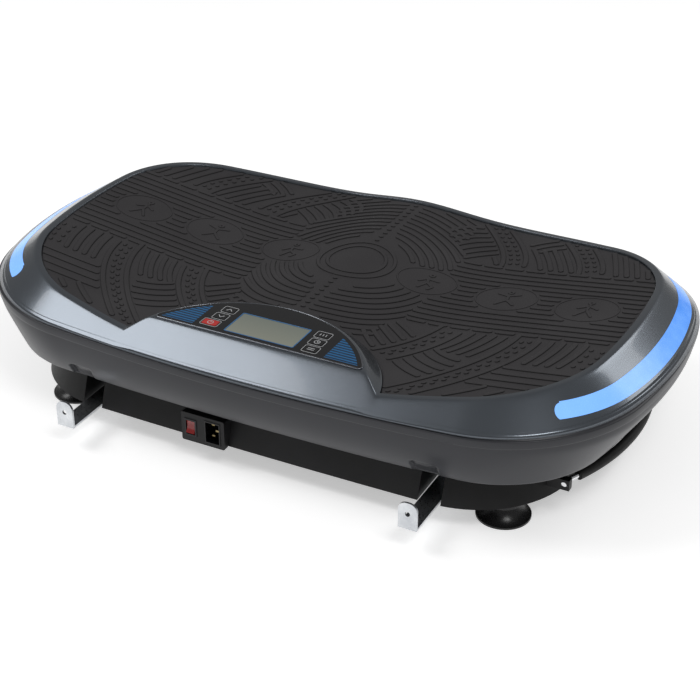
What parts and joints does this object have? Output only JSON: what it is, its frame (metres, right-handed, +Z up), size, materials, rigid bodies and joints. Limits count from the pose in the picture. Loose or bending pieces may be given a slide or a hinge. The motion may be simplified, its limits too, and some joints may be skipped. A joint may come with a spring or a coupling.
{
  "type": "vibration plate",
  "caption": "Low fitness vibration plate: rocking rubber-topped deck with raised control console, light strips, suction feet, strap brackets and a carry handle.",
  "frame": {"origin": "on the floor under the middle of the overall box, strap brackets included", "axes": "+X along the deck to its right end, +Y from the console to the rear, +Z up"},
  "size_m": [0.7986, 0.49, 0.1689],
  "materials": {
    "metallic_blue": "metallic gloss",
    "slate": "satin",
    "mat_rubber": "matt",
    "black_gloss": "gloss",
    "black_pan": "satin",
    "zinc": "zinc plated",
    "foot_rubber": "gloss",
    "chrome": "polished",
    "steel": "plain",
    "led_blue": "translucent",
    "lcd_glass": "clear",
    "lcd_body": "matt",
    "circuit": "solder mask",
    "red_lens": "translucent",
    "key_white": "gloss",
    "key_red": "gloss",
    "belt_rubber": "matt",
    "cast": "painted",
    "alu": "turned",
    "brass_pin": "plain"
  },
  "bodies": {
    "base": {"base_pan": "black_pan", "bracket_left": "zinc", "bracket_right": "zinc", "control_board": "circuit", "drive_belt": "belt_rubber", "end_buffers": "foot_rubber", "foot_bolts": "steel", "foot_front_left": "foot_rubber", "foot_front_right": "foot_rubber", "foot_rear_left": "foot_rubber", "foot_rear_right": "foot_rubber", "handle_clip_front": "black_pan", "handle_clip_rear": "black_pan", "inlet_panel": "black_pan", "inlet_pins": "brass_pin", "inlet_socket": "black_gloss", "motor_case": "cast", "motor_cradle": "black_pan", "pan_screws": "steel", "pivot_pin_front": "steel", "pivot_pin_rear": "steel", "pivot_stand_front": "steel", "pivot_stand_rear": "steel", "shaft_block_front": "cast", "shaft_block_rear": "cast", "switch_frame": "black_gloss"},
    "platform": {"top_cover": "metallic_blue", "lower_cover": "slate", "mat": "mat_rubber", "console_overlay": "black_gloss", "lcd_window": "lcd_glass", "lcd_module": "lcd_body", "console_board": "circuit", "led_lens_left": "led_blue", "led_lens_right": "led_blue", "led_board_left": "circuit", "led_board_right": "circuit", "platform_frame": "steel", "deck_ribs": "black_pan", "frame_bolts": "steel", "pivot_hanger_front": "steel", "pivot_hanger_rear": "steel", "yoke_front": "alu", "yoke_rear": "alu"},
    "drive_shaft": {"eccentric_shaft": "steel", "cam_bearings": "chrome", "drive_pulley": "alu"},
    "rotor": {"motor_rotor": "steel", "motor_pulley": "alu"},
    "handle": {"handle_rod": "chrome", "handle_grip": "belt_rubber"},
    "rocker": {"rocker_switch": "red_lens"},
    "button_up": {"button_up": "key_white"},
    "button_down": {"button_down": "key_white"},
    "button_start": {"button_start": "key_red"},
    "button_mode": {"button_mode": "key_white"},
    "button_time": {"button_time": "key_white"},
    "button_program": {"button_program": "key_white"}
  },
  "joints": [
    {"name": "platform_tilt", "type": "hinge", "parent": "base", "child": "platform", "pos_m": [0, 0.0295, 0.072], "axis": [0, 1, 0], "range_deg": [-1.15, 1.15]},
    {"name": "drive_shaft_turn", "type": "hinge", "parent": "base", "child": "drive_shaft", "pos_m": [0.12, 0, 0.066], "axis": [0, 1, 0], "range_deg": [-90.5, 90.5]},
    {"name": "motor_turn", "type": "hinge", "parent": "base", "child": "rotor", "pos_m": [0.205, 0, 0.066], "axis": [0, 1, 0], "range_deg": [-247, 247]},
    {"name": "handle_lift", "type": "hinge", "parent": "base", "child": "handle", "pos_m": [0.322, 0, 0.044], "axis": [0, 1, 0], "range_deg": [-10, 0]},
    {"name": "rocker_press", "type": "hinge", "parent": "base", "child": "rocker", "pos_m": [-0.07, -0.2005, 0.0435], "axis": [1, 0, 0], "range_deg": [0, 16]},
    {"name": "button_up_press", "type": "slide", "parent": "platform", "child": "button_up", "axis": [0, 0, -1], "range_m": [0, 0.0006], "stiffness_N_per_m": 300},
    {"name": "button_down_press", "type": "slide", "parent": "platform", "child": "button_down", "axis": [0, 0, -1], "range_m": [0, 0.0006], "stiffness_N_per_m": 300},
    {"name": "button_start_press", "type": "slide", "parent": "platform", "child": "button_start", "axis": [0, 0, -1], "range_m": [0, 0.0006], "stiffness_N_per_m": 300},
    {"name": "button_mode_press", "type": "slide", "parent": "platform", "child": "button_mode", "axis": [0, 0, -1], "range_m": [0, 0.0006], "stiffness_N_per_m": 300},
    {"name": "button_time_press", "type": "slide", "parent": "platform", "child": "button_time", "axis": [0, 0, -1], "range_m": [0, 0.0006], "stiffness_N_per_m": 300},
    {"name": "button_program_press", "type": "slide", "parent": "platform", "child": "button_program", "axis": [0, 0, -1], "range_m": [0, 0.0006], "stiffness_N_per_m": 300}
  ],
  "couplings": [
    {"joint": "drive_shaft_turn", "follows": "platform_tilt", "ratio": 78.5},
    {"joint": "motor_turn", "follows": "platform_tilt", "ratio": 214.09}
  ]
}
